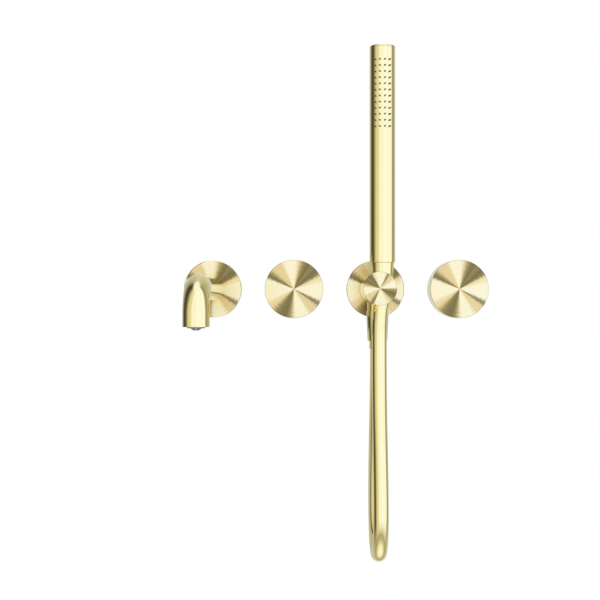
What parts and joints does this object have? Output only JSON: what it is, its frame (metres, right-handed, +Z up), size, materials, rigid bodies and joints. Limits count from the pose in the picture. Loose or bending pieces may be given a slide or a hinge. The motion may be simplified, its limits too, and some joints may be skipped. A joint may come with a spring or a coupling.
{
  "type": "wall mounted bath faucet",
  "caption": "Wall-mounted bath faucet set on one concealed body: round spout, disc diverter knob, bracket with stick hand shower and hose, and disc mixer knob.",
  "frame": {"origin": "on the finished wall, in the middle of the row of four stations, at the height of their axes", "axes": "+X to the right along the row, -Y out of the wall into the room, +Z up; positive Y is inside the wall"},
  "size_m": [0.396, 0.3094, 0.5155],
  "materials": {
    "turned_gold": "turned and brushed, pale gold coating",
    "polished_gold": "polished, pale gold coating",
    "hose_jacket": "smooth metallised pale gold",
    "plain_brass": "cast and machined, uncoated",
    "zinc_steel": "zinc plated",
    "stainless": "plain stainless steel",
    "ceramic": "lapped alumina",
    "black_rubber": "matte",
    "grey_plastic": "satin grey",
    "nozzle_silicone": "soft grey",
    "white_plastic": "natural acetal"
  },
  "bodies": {
    "root": {"aerator_diffuser": "grey_plastic", "aerator_housing": "grey_plastic", "aerator_insert": "grey_plastic", "aerator_seal": "black_rubber", "bracket_arm": "polished_gold", "bracket_grub_screw": "stainless", "bracket_nipple": "plain_brass", "bracket_nipple_orings": "black_rubber", "bracket_rose": "turned_gold", "bracket_rose_oring": "black_rubber", "check_valve_body": "white_plastic", "check_valve_spring": "stainless", "concealed_body": "plain_brass", "diverter_base_seal": "black_rubber", "diverter_cartridge": "plain_brass", "diverter_fixed_disc": "ceramic", "diverter_gland_nut": "plain_brass", "diverter_rose": "turned_gold", "mixer_base_seal": "black_rubber", "mixer_cartridge": "plain_brass", "mixer_fixed_disc": "ceramic", "mixer_gland_nut": "plain_brass", "mixer_rose": "turned_gold", "mounting_plate": "zinc_steel", "plate_screws": "zinc_steel", "rose_gaskets": "black_rubber", "seat_liner": "white_plastic", "shower_hose": "hose_jacket", "spout_adapter": "plain_brass", "spout_grub_screw": "stainless", "spout_nipple": "plain_brass", "spout_nipple_orings": "black_rubber", "spout_rose": "turned_gold", "spout_rose_oring": "black_rubber", "spout_tube": "polished_gold", "wall_hose_ferrule": "polished_gold", "wall_hose_nut": "polished_gold", "wall_hose_stem": "plain_brass", "wall_hose_washer": "black_rubber"},
    "mixer_knob": {"mixer_knob": "turned_gold", "mixer_knob_screw": "stainless", "mixer_spindle": "plain_brass", "mixer_moving_disc": "ceramic", "mixer_spindle_orings": "black_rubber"},
    "diverter_knob": {"diverter_knob": "turned_gold", "diverter_knob_screw": "stainless", "diverter_spindle": "plain_brass", "diverter_moving_disc": "ceramic", "diverter_spindle_orings": "black_rubber"},
    "check_poppet": {"check_valve_poppet": "white_plastic"},
    "hose_end": {"hand_hose_ferrule": "polished_gold", "hand_hose_stem": "plain_brass"},
    "hand_shower": {"hand_hose_nut": "polished_gold", "hand_hose_washer": "black_rubber", "handle_tube": "polished_gold", "handle_connector": "plain_brass", "handle_waterway": "white_plastic", "nozzle_strip": "nozzle_silicone", "end_cap": "polished_gold", "handle_orings": "black_rubber"}
  },
  "joints": [
    {"name": "mixer_turn", "type": "hinge", "parent": "root", "child": "mixer_knob", "pos_m": [0.1275, -0.03, 0], "axis": [0, -1, 0], "range_deg": [0, 110]},
    {"name": "diverter_turn", "type": "hinge", "parent": "root", "child": "diverter_knob", "pos_m": [-0.0425, -0.03, 0], "axis": [0, -1, 0], "range_deg": [0, 90]},
    {"name": "check_valve_open", "type": "slide", "parent": "root", "child": "check_poppet", "axis": [0, 0, -1], "range_m": [0, 0.003], "stiffness_N_per_m": 150, "springref_m": -0.001, "deforming": ["check_valve_spring"]},
    {"name": "hand_shower_lift", "type": "slide", "parent": "root", "child": "hose_end", "axis": [0, 0, 1], "range_m": [0, 0.04]},
    {"name": "hand_shower_swivel", "type": "hinge", "parent": "hose_end", "child": "hand_shower", "pos_m": [0.0457, -0.066, 0.01], "axis": [0, 0, 1], "continuous": true}
  ]
}
